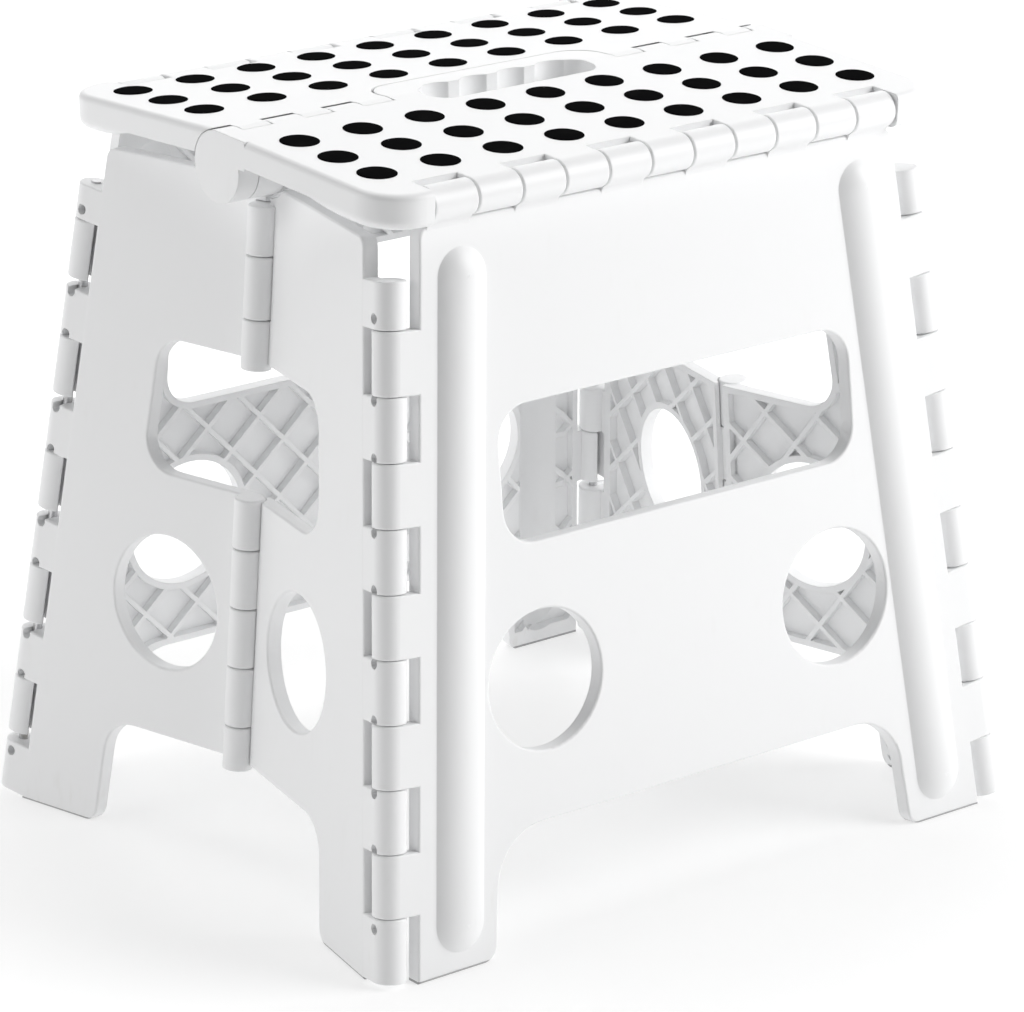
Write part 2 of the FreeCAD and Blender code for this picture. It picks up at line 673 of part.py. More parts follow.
def side_openings(grow):
    """Return the window, the hole and the arch over the floor of a side half, grown by an amount."""
    a = SIDE_WINDOW_START - grow
    far = 2 * mid_p(0)
    y0 = SIDE_WINDOW_BOTTOM - grow
    y1 = SIDE_WINDOW_TOP + grow
    r = SIDE_WINDOW_CORNER + grow
    window = prism([(a, side_q(a, y0)), (far, side_q(far, y0)), (far, side_q(far, y1)), (a, side_q(a, y1))],
                   -FAR, FAR, [r, 0, 0, r])
    at = V(SIDE_HOLE_OFFSET, side_q(SIDE_HOLE_OFFSET, SIDE_HOLE_HEIGHT), -FAR)
    hole = Part.makeCylinder(SIDE_HOLE_RADIUS + grow, 2 * FAR, at)
    b = SIDE_ARCH_START - grow
    top = SIDE_ARCH_HEIGHT + grow
    arch = prism([(-far, -far), (far, -far), (far, side_q(far, top)),
                  (b, side_q(b, top)), (b, side_q(b, grow)), (-far, side_q(-far, grow))],
                 -FAR, FAR, [0, 0, 0, SIDE_ARCH_CORNER, FOOT_CORNER - grow, 0])
    return [window, hole, arch]


def mid_rows():
    """Return the height ranges of the middle knuckles of the front and of the rear half."""
    upper = list(zip(MID_UPPER[:-1], MID_UPPER[1:]))
    lower = list(zip(MID_LOWER[:-1], MID_LOWER[1:]))
    return upper[0::2] + lower[1::2], upper[1::2] + lower[0::2]


def corner_knuckles(rise):
    """Return the knuckles of a side half on the corner axis with their necks, in the side frame."""
    outer = CORNER_DEPTH - CORNER_KNUCKLE_RADIUS
    parts = []
    for low, high in KNUCKLE_ROWS:
        y0 = low / CORNER_DIRECTION.z + CORNER_GAP / 2
        y1 = high / CORNER_DIRECTION.z - CORNER_GAP / 2 - rise
        parts.append(soft_rod(V(0, y0, CORNER_DEPTH), V(0, y1, CORNER_DEPTH), CORNER_KNUCKLE_RADIUS))
        neck = box(0, SIDE_EDGE + RIM_WIDTH, y0, y1, outer, SIDE_THICKNESS)
        parts.append(soften(neck, KNUCKLE_EDGE, lambda b: b.ZMax < outer + 0.01 and b.XLength > 1))
    return parts


def corner_peeps(rise):
    """Return the round holes near the ends of the corner knuckles through which the pin shows."""
    holes = []
    last = len(KNUCKLE_ROWS) - 1
    for i, (low, high) in enumerate(KNUCKLE_ROWS):
        inset = END_PEEP_INSET if i in (0, last) else PEEP_INSET
        heights = []
        if i > 0:
            heights.append(low / CORNER_DIRECTION.z + inset)
        if i < last:
            heights.append(high / CORNER_DIRECTION.z - rise - inset)
        holes += [Part.makeCylinder(PEEP_RADIUS, CORNER_DEPTH, V(0, y, 0)) for y in heights]
    return holes


def side_plate():
    """Return a side half without its knuckles in the side frame, and the sole of its foot."""
    blank = prism(side_outline(0), 0, SIDE_THICKNESS, [0, SIDE_TOP_CORNER, 0, 0]).cut(side_openings(0))
    blank = soften(blank, EDGE_RADIUS, lambda b: b.ZMax < 0.01)
    soles = SIDE.place(blank).common(slab(0, PAD_THICKNESS))
    pocket = prism(side_outline(RIM_WIDTH), SIDE_WALL, 2 * SIDE_THICKNESS)
    keep = side_openings(RIM_WIDTH)
    keep.append(box(-FAR, FAR, -FAR, side_q(SIDE_EDGE, FOOT_RIM), -FAR, FAR))
    keep.append(box(-FAR, SIDE_EDGE + 2 * RIM_WIDTH, -FAR, FAR, -FAR, FAR))
    center = V(mid_p(0), side_q(mid_p(0), SIDE_WINDOW_BOTTOM), 0)
    return blank.cut(pocket_cells(pocket, keep, center, 0, 2 * SIDE_THICKNESS)), soles


def make_side(plate, own, other, rise):
    """Return a front left side half with the given middle knuckles."""
    body = SIDE.place(plate.fuse(corner_knuckles(rise)).cut(corner_peeps(rise)))
    gap = MID_GAP / 2
    body = body.fuse([soft_rod(mid_point(low + gap), mid_point(high - gap), MID_RADIUS) for low, high in own])
    clear = [rod(mid_point(low - gap), mid_point(high + gap), MID_RADIUS + MID_GAP) for low, high in other]
    clear.append(x_rod(-FAR, FAR, 0, CENTER_Z, CENTER_RADIUS + CENTER_CLEARANCE))
    clear.append(slab(-FAR, PAD_THICKNESS))
    bore = PIN_RADIUS + PIN_CLEARANCE
    clear.append(rod(corner_point(CORNER_PIN_LOW), corner_point(CORNER_PIN_HIGH), bore))
    clear += [mid_pin(rows, 0, bore) for rows in (MID_UPPER, MID_LOWER)]
    return body.cut(clear)


# Hinge pins
def mid_pin(rows, gap, radius):
    """Return a round bar through rows of middle knuckles, shortened by a gap at each end."""
    inset = MID_PIN_INSET + gap
    return rod(mid_point(rows[0] + inset), mid_point(rows[-1] - inset), radius)


def hinge_pins():
    """Return every steel hinge pin by name."""
    gap = PIN_END_GAP
    top = PANEL.place(x_rod(-TOP_PIN_HALF + gap, TOP_PIN_HALF - gap, PANEL_TOP, 0, PIN_RADIUS))
    center = center_discs([center_pin_span(gap)], CENTER_PIN_RADIUS)[0]
    corner = rod(corner_point(CORNER_PIN_LOW + gap), corner_point(CORNER_PIN_HIGH - gap), PIN_RADIUS)
    upper = mid_pin(MID_UPPER, gap, PIN_RADIUS)
    lower = mid_pin(MID_LOWER, gap, PIN_RADIUS)
    return {
        "front_top_pin": top,
        "rear_top_pin": half_turn(top),
        "right_center_pin": center,
        "left_center_pin": half_turn(center),
        "front_left_corner_pin": corner,
        "rear_left_corner_pin": mirror_y(corner),
        "front_right_corner_pin": mirror_x(corner),
        "rear_right_corner_pin": half_turn(corner),
        "left_upper_middle_pin": upper,
        "left_lower_middle_pin": lower,
        "right_upper_middle_pin": half_turn(upper),
        "right_lower_middle_pin": half_turn(lower),
    }


def build():
    """Return every node of the stool by name."""
    panel, panel_soles = panel_plate()
    side, side_sole = side_plate()
    front_rows, rear_rows = mid_rows()
    nodes = {
        "front_leg_panel": make_panel(panel, PIN_CLEARANCE, 0.0),
        "rear_leg_panel": half_turn(make_panel(panel, REAR_CORNER_PLAY, REAR_CORNER_SLACK)),
        "front_deck": make_front_deck(),
        "rear_deck": make_rear_deck(),
        "left_front_side": make_side(side, front_rows, rear_rows, 0.0),
        "left_rear_side": mirror_y(make_side(side, rear_rows, front_rows, REAR_CORNER_RISE)),
        "right_rear_side": half_turn(make_side(side, front_rows, rear_rows, REAR_CORNER_RISE)),
        "right_front_side": mirror_x(make_side(side, rear_rows, front_rows, 0.0)),
        "front_grip_dots": make_dots(FRONT_DOT_START),
        "rear_grip_dots": half_turn(make_dots(REAR_DOT_START)),
        "front_foot_pads": panel_soles,
        "rear_foot_pads": half_turn(panel_soles),
        "left_front_foot_pad": side_sole,
        "left_rear_foot_pad": mirror_y(side_sole),
        "right_rear_foot_pad": half_turn(side_sole),
        "right_front_foot_pad": mirror_x(side_sole),
    }
    nodes.update(hinge_pins())
    return nodes


os.makedirs("parts", exist_ok=True)
for name, shape in build().items():
    shape.exportStep("parts/" + name + ".step")
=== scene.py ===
"""Finishes of a folding step stool: moulded white plastic, rubber grip dots and soles, steel hinge pins."""

import logging
import math
from dataclasses import dataclass, field
from enum import Enum

import bpy
from mathutils import Euler, Matrix, Vector

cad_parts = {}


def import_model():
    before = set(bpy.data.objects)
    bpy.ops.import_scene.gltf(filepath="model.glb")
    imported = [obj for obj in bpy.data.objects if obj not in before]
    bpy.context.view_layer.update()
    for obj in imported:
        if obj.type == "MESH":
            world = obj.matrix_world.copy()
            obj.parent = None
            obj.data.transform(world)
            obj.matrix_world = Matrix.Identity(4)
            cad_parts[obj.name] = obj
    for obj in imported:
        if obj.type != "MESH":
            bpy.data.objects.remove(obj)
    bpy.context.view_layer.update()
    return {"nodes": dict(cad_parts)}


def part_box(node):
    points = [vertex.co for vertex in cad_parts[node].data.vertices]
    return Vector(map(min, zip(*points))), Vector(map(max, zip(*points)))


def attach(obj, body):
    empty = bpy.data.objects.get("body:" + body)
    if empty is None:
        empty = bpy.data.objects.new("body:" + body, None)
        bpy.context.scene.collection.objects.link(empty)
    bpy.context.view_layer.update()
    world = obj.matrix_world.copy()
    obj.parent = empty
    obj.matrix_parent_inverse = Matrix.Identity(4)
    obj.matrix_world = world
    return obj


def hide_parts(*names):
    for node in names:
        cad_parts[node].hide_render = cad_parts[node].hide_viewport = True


LOG = logging.getLogger("step_stool")
MM = 0.001

Colour = tuple[float, float, float]
Point = tuple[float, float, float]
Setting = str | int


class Slot(Enum):
    """Material slots of the record."""

    PLASTIC = "white_plastic"
    GRIP = "grip_rubber"
    FOOT = "foot_rubber"
    STEEL = "hinge_steel"


class Side(Enum):
    """The two halves of the stool, with the sign of their Y direction."""

    FRONT = -1
    REAR = 1

    @property
    def word(self) -> str:
        """Return the word that node and body names use."""
        return self.name.lower()


class Value:
    """One output of a shader node, which plain operators turn into Math nodes."""

    def __init__(self, shader: "Shader", socket: bpy.types.NodeSocket) -> None:
        """Keep the socket and the shader that it belongs to."""
        self.shader = shader
        self.socket = socket

    def _math(self, operation: str, first: "Value | float", second: "Value | float") -> "Value":
        """Return the result of a Math node."""
        return self.shader.node("ShaderNodeMath", {"operation": operation}, {0: first, 1: second})

    def __add__(self, other: "Value | float") -> "Value":
        """Return self + other."""
        return self._math("ADD", self, other)

    def __radd__(self, other: float) -> "Value":
        """Return other + self."""
        return self._math("ADD", other, self)

    def __sub__(self, other: "Value | float") -> "Value":
        """Return self - other."""
        return self._math("SUBTRACT", self, other)

    def __rsub__(self, other: float) -> "Value":
        """Return other - self."""
        return self._math("SUBTRACT", other, self)

    def __mul__(self, other: "Value | float") -> "Value":
        """Return self * other."""
        return self._math("MULTIPLY", self, other)

    def __rmul__(self, other: float) -> "Value":
        """Return other * self."""
        return self._math("MULTIPLY", other, self)


class Shader:
    """The node tree of one material, with a principled surface."""

    BEVEL_SAMPLES = 4
    EDGE_START = 0.02
    EDGE_FULL = 0.2

    def __init__(self, name: str) -> None:
        """Start a material that holds a principled surface and its output.

        Args:
            name: Name of the material.
        """
        self.material = bpy.data.materials.new(name)
        self.material.use_nodes = True
        self.tree = self.material.node_tree
        self.tree.nodes.clear()
        self.surface = self.tree.nodes.new("ShaderNodeBsdfPrincipled")
        output = self.tree.nodes.new("ShaderNodeOutputMaterial")
        self.tree.links.new(self.surface.outputs["BSDF"], output.inputs["Surface"])

    def node(self, kind: str, settings: dict[str, Setting], inputs: dict[str | int, object],
             output: str | int = 0) -> Value:
        """Add a node.

        Args:
            kind: Type name of the node.
            settings: Properties of the node, set first.
            inputs: Value, link or constant of each socket that is set, by name or number.
            output: Name or number of the output to return.

        Returns:
            The chosen output.
        """
        made = self.tree.nodes.new(kind)
        for name, setting in settings.items():
            setattr(made, name, setting)
        for key, value in inputs.items():
            self._feed(made.inputs[key], value)
        return Value(self, made.outputs[output])

    def _feed(self, socket: bpy.types.NodeSocket, value: object) -> None:
        """Link a value to a socket, or set the socket's own number, colour or vector.

        Args:
            socket: Input of a node.
            value: Value to link, or constant to set.
        """
        if isinstance(value, Value):
            self.tree.links.new(value.socket, socket)
        elif isinstance(value, tuple) and socket.type == "RGBA":
            socket.default_value = (*value, 1.0)
        else:
            socket.default_value = value

    def place(self) -> Value:
        """Return the object coordinates."""
        return self.node("ShaderNodeTexCoord", {}, {}, "Object")

    def axis(self, vector: Value, name: str) -> Value:
        """Return one component of a vector."""
        return self.node("ShaderNodeSeparateXYZ", {}, {0: vector}, name)

    def stretched(self, vector: Value, scale: Point) -> Value:
        """Return coordinates in which a pattern is drawn out along the axes of a small scale."""
        return self.node("ShaderNodeMapping", {}, {"Vector": vector, "Scale": scale})

    def ramp(self, value: Value, low: float, high: float) -> Value:
        """Return 0 below low, 1 above high and a smooth step between them."""
        return self.node("ShaderNodeMapRange", {"interpolation_type": "SMOOTHSTEP"},
                         {"Value": value, "From Min": low, "From Max": high})

    def blend(self, first: Colour | Value, second: Colour | Value, share: Value) -> Value:
        """Return a colour between two colours.

        Args:
            first: Colour where the share is 0.
            second: Colour where the share is 1.
            share: How much of the second colour shows.

        Returns:
            The mixed colour.
        """
        return self.node("ShaderNodeMix", {"data_type": "RGBA"}, {"Factor": share, 6: first, 7: second}, 2)

    def rounded(self, radius: float) -> Value:
        """Return the normal of the surface with its edges rounded."""
        return self.node("ShaderNodeBevel", {"samples": self.BEVEL_SAMPLES}, {"Radius": radius})

    def edge(self, rounded: Value) -> Value:
        """Return a mask that is 1 along sharp edges and 0 on flat stretches.

        Args:
            rounded: Normal of the surface with its edges rounded.

        Returns:
            The mask.
        """
        face = self.node("ShaderNodeNewGeometry", {}, {}, "Normal")
        dot = self.node("ShaderNodeVectorMath", {"operation": "DOT_PRODUCT"}, {0: rounded, 1: face}, "Value")
        return self.ramp(1 - dot, self.EDGE_START, self.EDGE_FULL)

    def bump(self, height: Value, depth: float, normal: Value | None = None) -> Value:
        """Return a normal that follows a height.

        Args:
            height: Height between 0 and 1.
            depth: Real depth of the relief in metres.
            normal: Normal that the relief is added to.

        Returns:
            The new normal.
        """
        inputs = {"Strength": 1.0, "Distance": depth, "Height": height}
        if normal is not None:
            inputs["Normal"] = normal
        return self.node("ShaderNodeBump", {}, inputs)

    def set(self, **sockets: object) -> None:
        """Set sockets of the principled surface, with underscores for the spaces in their names."""
        for name, value in sockets.items():
            self._feed(self.surface.inputs[name.replace("_", " ")], value)


@dataclass(frozen=True)
class Pattern:
    """Noise with features of one size, and the part of its range over which patches of it appear."""

    size: float
    detail: float = 2.0
    low: float = 0.0
    high: float = 1.0
    middle: float = 0.5

    def noise(self, shader: Shader, place: Value) -> Value:
        """Return the noise, between 0 and 1."""
        inputs = {"Vector": place, "Scale": 1 / self.size, "Detail": self.detail}
        return shader.node("ShaderNodeTexNoise", {}, inputs, "Fac")

    def patches(self, shader: Shader, place: Value) -> Value:
        """Return a mask that is 1 in the patches and 0 between them."""
        return shader.ramp(self.noise(shader, place), self.low, self.high)


@dataclass(frozen=True)
class MouldedPlastic:
    """Satin white plastic from a spark-textured mould, a little handled near the floor."""

    name: str
    colour: Colour = (0.9, 0.903, 0.907)
    scuffed: Colour = (0.82, 0.815, 0.8)
    # Lighter tone along sharp edges: a painted highlight.
    painted_edge_highlight: Colour = (0.93, 0.93, 0.93)
    refraction: float = 1.49
    shine: float = 0.5
    roughness: float = 0.4
    flow: Pattern = Pattern(70 * MM, 3.0)
    flow_roughness: float = 0.1
    grain: Pattern = Pattern(0.55 * MM)
    grain_roughness: float = 0.06
    grain_depth: float = 0.012 * MM
    scratches: Pattern = Pattern(4 * MM, 5.0, 0.56, 0.72)
    scratch_scale: Point = (1.0, 1.0, 0.22)
    handled: Pattern = Pattern(35 * MM, 4.0, 0.42, 0.7)
    scuff_start: float = 4 * MM
    scuff_end: float = 55 * MM
    scuff_share: float = 0.12
    low_scuff_share: float = 0.55
    scuff_roughness: float = 0.2
    edge_radius: float = 0.6 * MM
    edge_highlight_share: float = 0.5
    edge_polish: float = 0.06

    def material(self) -> bpy.types.Material:
        """Make the material.

        Returns:
            White plastic whose tone and roughness follow scuffs, flow marks and edges; the lighter tone
            along its edges is a painted highlight.
        """
        shader = Shader(self.name)
        place = shader.place()
        flow = self.flow.noise(shader, place)
        grain = self.grain.noise(shader, place)
        scratches = self.scratches.patches(shader, shader.stretched(place, self.scratch_scale))
        low = 1 - shader.ramp(shader.axis(place, "Z"), self.scuff_start, self.scuff_end)
        handled = self.handled.patches(shader, place)
        scuffs = scratches * handled * (self.scuff_share + self.low_scuff_share * low)
        rounded = shader.rounded(self.edge_radius)
        edges = shader.edge(rounded)
        tone = shader.blend(self.colour, self.scuffed, scuffs)
        # Lighter tone along sharp edges: a painted highlight.
        tone = shader.blend(tone, self.painted_edge_highlight, self.edge_highlight_share * edges)
        rough = self.roughness + self.flow_roughness * (flow - self.flow.middle)
        rough = rough + self.grain_roughness * (grain - self.grain.middle)
        shader.set(Base_Color=tone,
                   Roughness=rough + self.scuff_roughness * scuffs - self.edge_polish * edges,
                   Normal=shader.bump(grain, self.grain_depth, rounded),
                   Specular_IOR_Level=self.shine, IOR=self.refraction)
        return shader.material


@dataclass(frozen=True)
class StippledRubber:
    """Matte rubber with a fine stipple and a film of dust on its high spots."""

    name: str
    colour: Colour
    dusty: Colour
    roughness: float = 0.75
    shine: float = 0.1
    stipple: float = 0.8 * MM
    stipple_depth: float = 0.04 * MM
    stipple_share: float = 0.2
    stipple_polish: float = 0.08
    dust: Pattern = Pattern(9 * MM, 4.0, 0.45, 0.75)
    dust_share: float = 0.5
    dust_roughness: float = 0.15

    def material(self) -> bpy.types.Material:
        """Make the material.

        Returns:
            Rubber whose tone and roughness follow its stipple and its dust.
        """
        shader = Shader(self.name)
        place = shader.place()
        cells = shader.node("ShaderNodeTexVoronoi", {"feature": "SMOOTH_F1"},
                            {"Vector": place, "Scale": 1 / self.stipple}, "Distance")
        dust = self.dust.patches(shader, place)
        film = self.dust_share * dust + self.stipple_share * cells
        shader.set(Base_Color=shader.blend(self.colour, self.dusty, film),
                   Roughness=self.roughness + self.dust_roughness * dust - self.stipple_polish * cells,
                   Normal=shader.bump(cells, self.stipple_depth),
                   Specular_IOR_Level=self.shine)
        return shader.material


@dataclass(frozen=True)
class DrawnSteel:
    """Bright drawn wire with fine lines along its length and a little tarnish."""

    name: str
    colour: Colour = (0.62, 0.62, 0.63)
    tarnish: Colour = (0.4, 0.39, 0.37)
    roughness: float = 0.3
    lines: Pattern = Pattern(0.3 * MM, 3.0)
    line_scale: Point = (1.0, 1.0, 0.05)
    line_depth: float = 0.01 * MM
    line_roughness: float = 0.15
    stains: Pattern = Pattern(6 * MM, 4.0, 0.5, 0.75)
    stain_roughness: float = 0.2

    def material(self) -> bpy.types.Material:
        """Make the material.

        Returns:
            Steel whose tone and roughness follow its drawn lines and its stains.
        """
        shader = Shader(self.name)
        place = shader.place()
        lines = self.lines.noise(shader, shader.stretched(place, self.line_scale))
        stains = self.stains.patches(shader, place)
        rough = self.roughness + self.stain_roughness * stains
        shader.set(Base_Color=shader.blend(self.colour, self.tarnish, stains),
                   Roughness=rough + self.line_roughness * (lines - self.lines.middle),
                   Normal=shader.bump(lines, self.line_depth),
                   Metallic=1.0)
        return shader.material


@dataclass(frozen=True)
class PaperSweep:
    """White paper on a light table, brighter away from the stool, with a lower glow near the stool that is a
    painted shadow of the stool, and dim towards its front left.
    """

    name: str = "paper_sweep"
    colour: Colour = (0.46, 0.46, 0.46)
    shaded: Colour = (0.44, 0.44, 0.44)
    fibres: Pattern = Pattern(2 * MM, 3.0)
    roughness: float = 0.85
    shine: float = 0.2
    # Glow near the stool, lower than far away: a painted shadow of the stool on the floor.
    painted_shadow_glow: Colour = (0.57, 0.57, 0.57)
    far_glow: Colour = (0.95, 0.95, 0.95)
    near: float = 0.2
    far: float = 0.6
    dim_glow: Colour = (0.3, 0.3, 0.3)
    dim_side: Point = (-0.866, -0.5, 0.0)
    dim_start: float = 0.3
    dim_end: float = 0.8

    def material(self) -> bpy.types.Material:
        """Make the material.

        Returns:
            Paper that glows by its distance from the stool, less near it as a painted shadow, and by its
            side.
        """
        shader = Shader(self.name)
        place = shader.place()
        fibres = self.fibres.noise(shader, place)
        reach = shader.node("ShaderNodeVectorMath", {"operation": "LENGTH"}, {0: place}, "Value")
        # Lower glow near the stool: a painted shadow of the stool on the floor.
        glow = shader.blend(self.painted_shadow_glow, self.far_glow, shader.ramp(reach, self.near, self.far))
        aside = shader.node("ShaderNodeVectorMath", {"operation": "DOT_PRODUCT"},
                            {0: place, 1: self.dim_side}, "Value")
        glow = shader.blend(glow, self.dim_glow, shader.ramp(aside, self.dim_start, self.dim_end))
        shader.set(Base_Color=shader.blend(self.colour, self.shaded, fibres), Roughness=self.roughness,
                   Specular_IOR_Level=self.shine, Emission_Color=glow, Emission_Strength=1.0)
        return shader.material


class Finishes:
    """One material for each finish of the stool."""

    def __init__(self) -> None:
        """Make every material once."""
        self.by_slot = {
            Slot.PLASTIC: MouldedPlastic("moulded_plastic").material(),
            Slot.GRIP: StippledRubber("dot_rubber", colour=(0.004, 0.004, 0.0043),
                                      dusty=(0.009, 0.009, 0.009),
                                      roughness=0.8, shine=0.001).material(),
            Slot.FOOT: StippledRubber("sole_rubber", colour=(0.42, 0.42, 0.425),
                                      dusty=(0.5, 0.495, 0.485)).material(),
            Slot.STEEL: DrawnSteel("drawn_steel").material(),
        }

    def dress(self, node: bpy.types.Object, slot: Slot) -> None:
        """Put a finish on every material slot of a node and report it.

        Args:
            node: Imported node, or a piece of this script.
            slot: Slot of the record whose finish it takes.
        """
        material = self.by_slot[slot]
        if not node.material_slots:
            node.data.materials.append(material)
        for holder in node.material_slots:
            holder.material = material
        LOG.info("%s takes %s", node.name, material.name)


class DotTree:
    """Geometry Nodes tree that sets round-shouldered dots on a tilted grid."""

    NAME = "grip_dots"
    RIM_POINTS = 40
    RINGS = 8
    RIM_DROP = 0.75

    def __init__(self) -> None:
        """Build the tree."""
        self.tree = bpy.data.node_groups.new(self.NAME, "GeometryNodeTree")
        self.identifiers: dict[str, str] = {}
        for name, kind in (("Columns", "NodeSocketInt"), ("Rows", "NodeSocketInt"),
                           ("Width", "NodeSocketFloat"), ("Length", "NodeSocketFloat"),
                           ("Radius", "NodeSocketFloat"),
                           ("Height", "NodeSocketFloat"), ("Shoulder", "NodeSocketFloat"),
                           ("Middle", "NodeSocketVector"), ("Turn", "NodeSocketRotation"),
                           ("Material", "NodeSocketMaterial")):
            self._declare(name, kind)
        self.tree.interface.new_socket("Geometry", in_out="OUTPUT", socket_type="NodeSocketGeometry")
        self._build()

    def _declare(self, name: str, kind: str) -> None:
        """Add a named input to the tree."""
        socket = self.tree.interface.new_socket(name, in_out="INPUT", socket_type=kind)
        self.identifiers[name] = socket.identifier

    def _node(self, kind: str, settings: dict[str, str] | None = None,
              inputs: dict[str | int, object] | None = None) -> bpy.types.Node:
        """Add a node with its settings and its inputs.

        Args:
            kind: Type name of the node.
            settings: Properties of the node, set first.
            inputs: Socket or constant for each input that is set, by name or number.

        Returns:
            The node.
        """
        node = self.tree.nodes.new(kind)
        for name, setting in (settings or {}).items():
            setattr(node, name, setting)
        for key, value in (inputs or {}).items():
            if isinstance(value, bpy.types.NodeSocket):
                self.tree.links.new(value, node.inputs[key])
            else:
                node.inputs[key].default_value = value
        return node

    def _math(self, operation: str, first: object, second: object) -> bpy.types.NodeSocket:
        """Return the result of a Math node."""
        return self._node("ShaderNodeMath", {"operation": operation}, {0: first, 1: second}).outputs[0]

    def _dot(self, given: bpy.types.Node) -> bpy.types.NodeSocket:
        """Return the mesh of one dot, whose top falls off round its rim.

        Args:
            given: Group input node.

        Returns:
            The geometry socket of the dot.
        """
        depth = self._math("MULTIPLY", given.outputs["Height"], 2.0)
        disc = self._node("GeometryNodeMeshCylinder", {"fill_type": "TRIANGLE_FAN"},
                          {"Vertices": self.RIM_POINTS, "Side Segments": 1, "Fill Segments": self.RINGS,
                           "Radius": given.outputs["Radius"], "Depth": depth})
        position = self._node("GeometryNodeInputPosition").outputs[0]
        parts = self._node("ShaderNodeSeparateXYZ", None, {0: position})
        flat = self._node("ShaderNodeCombineXYZ", None, {0: parts.outputs["X"], 1: parts.outputs["Y"]})
        length = self._node("ShaderNodeVectorMath", {"operation": "LENGTH"}, {0: flat.outputs[0]})
        share = self._math("DIVIDE", length.outputs["Value"], given.outputs["Radius"])
        fall = self._math("POWER", share, given.outputs["Shoulder"])
        left = self._math("SUBTRACT", 1.0, self._math("MULTIPLY", fall, self.RIM_DROP))
        top = self._math("MULTIPLY", given.outputs["Height"], left)
        high = self._math("GREATER_THAN", parts.outputs["Z"], 0.0)
        height = self._math("MULTIPLY", top, high)
        target = self._node("ShaderNodeCombineXYZ", None,
                            {0: parts.outputs["X"], 1: parts.outputs["Y"], 2: height})
        moved = self._node("GeometryNodeSetPosition", None,
                           {"Geometry": disc.outputs["Mesh"], "Position": target.outputs[0]})
        return moved.outputs[0]

    def _build(self) -> None:
        """Set the dots on a grid, put the grid in place and end in one plain mesh."""
        given = self._node("NodeGroupInput")
        grid = self._node("GeometryNodeMeshGrid", None,
                          {"Size X": given.outputs["Width"], "Size Y": given.outputs["Length"],
                           "Vertices X": given.outputs["Columns"], "Vertices Y": given.outputs["Rows"]})
        set_out = self._node("GeometryNodeInstanceOnPoints", None,
                             {"Points": grid.outputs["Mesh"], "Instance": self._dot(given)})
        placed = self._node("GeometryNodeTransform", None,
                            {"Geometry": set_out.outputs[0], "Translation": given.outputs["Middle"],
                             "Rotation": given.outputs["Turn"]})
        real = self._node("GeometryNodeRealizeInstances", None, {"Geometry": placed.outputs[0]})
        smooth = self._node("GeometryNodeSetShadeSmooth", None, {"Geometry": real.outputs[0]})
        dressed = self._node("GeometryNodeSetMaterial", None,
                             {"Geometry": smooth.outputs[0], "Material": given.outputs["Material"]})
        output = self._node("NodeGroupOutput")
        self.tree.links.new(dressed.outputs[0], output.inputs[0])

    def mesh(self, name: str, sizes: dict[str, object]) -> bpy.types.Mesh:
        """Return the mesh that the tree gives for a set of sizes.

        Args:
            name: Name of the mesh.
            sizes: Value of each named input of the tree.

        Returns:
            A plain mesh.
        """
        holder = bpy.data.objects.new(name + "_holder", bpy.data.meshes.new(name + "_holder"))
        bpy.context.scene.collection.objects.link(holder)
        modifier = holder.modifiers.new(self.NAME, "NODES")
        modifier.node_group = self.tree
        for key, value in sizes.items():
            modifier[self.identifiers[key]] = value
        evaluated = holder.evaluated_get(bpy.context.evaluated_depsgraph_get())
        made = bpy.data.meshes.new_from_object(evaluated)
        made.name = name
        holder.modifiers.remove(modifier)
        bpy.data.objects.remove(holder)
        return made


@dataclass
class Deck:
    """One half of the stool's top with its grip dots."""

    side: Side
    columns: int = 9
    rows: int = 3
    dot_diameter: float = 16.3 * MM
    dot_height: float = 0.6 * MM
    shoulder: float = 14.0
    slope: float = math.radians(2.65)

    def build(self, dots: DotTree, finishes: Finishes) -> bpy.types.Object:
        """Return the grip dots of this deck as one piece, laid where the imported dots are.

        Args:
            dots: Tree that makes the dots.
            finishes: Materials of the stool.

        Returns:
            The piece.
        """
        node = f"{self.side.word}_grip_dots"
        low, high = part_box(node)
        tilt = -self.side.value * self.slope
        reach = self.dot_diameter * math.cos(self.slope)
        rise = self.dot_height * math.cos(self.slope)
        middle = (low + high) / 2
        middle.z -= rise / 2
        length = (high.y - low.y - reach) / math.cos(self.slope)
        sizes = {
            "Columns": self.columns, "Rows": self.rows,
            "Width": high.x - low.x - self.dot_diameter, "Length": length,
            "Radius": self.dot_diameter / 2, "Height": self.dot_height, "Shoulder": self.shoulder,
            "Middle": middle, "Turn": Euler((tilt, 0.0, 0.0)), "Material": finishes.by_slot[Slot.GRIP],
        }
        piece = bpy.data.objects.new(f"{self.side.word}_dots", dots.mesh(f"{self.side.word}_dots", sizes))
        bpy.context.scene.collection.objects.link(piece)
        return piece

    def dress(self, nodes: dict[str, bpy.types.Object], finishes: Finishes, dots: DotTree) -> None:
        """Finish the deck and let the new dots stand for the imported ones.

        Args:
            nodes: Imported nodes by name.
            finishes: Materials of the stool.
            dots: Tree that makes the dots.
        """
        body = f"{self.side.word}_deck"
        finishes.dress(nodes[body], Slot.PLASTIC)
        piece = self.build(dots, finishes)
        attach(piece, body)
        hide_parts(f"{self.side.word}_grip_dots")
        LOG.info("%s stands for the packed dots", piece.name)


@dataclass
class LegPanel:
    """A slanted leg panel with its two rubber soles."""

    side: Side

    def dress(self, nodes: dict[str, bpy.types.Object], finishes: Finishes) -> None:
        """Finish the panel and its soles."""
        finishes.dress(nodes[f"{self.side.word}_leg_panel"], Slot.PLASTIC)
        finishes.dress(nodes[f"{self.side.word}_foot_pads"], Slot.FOOT)


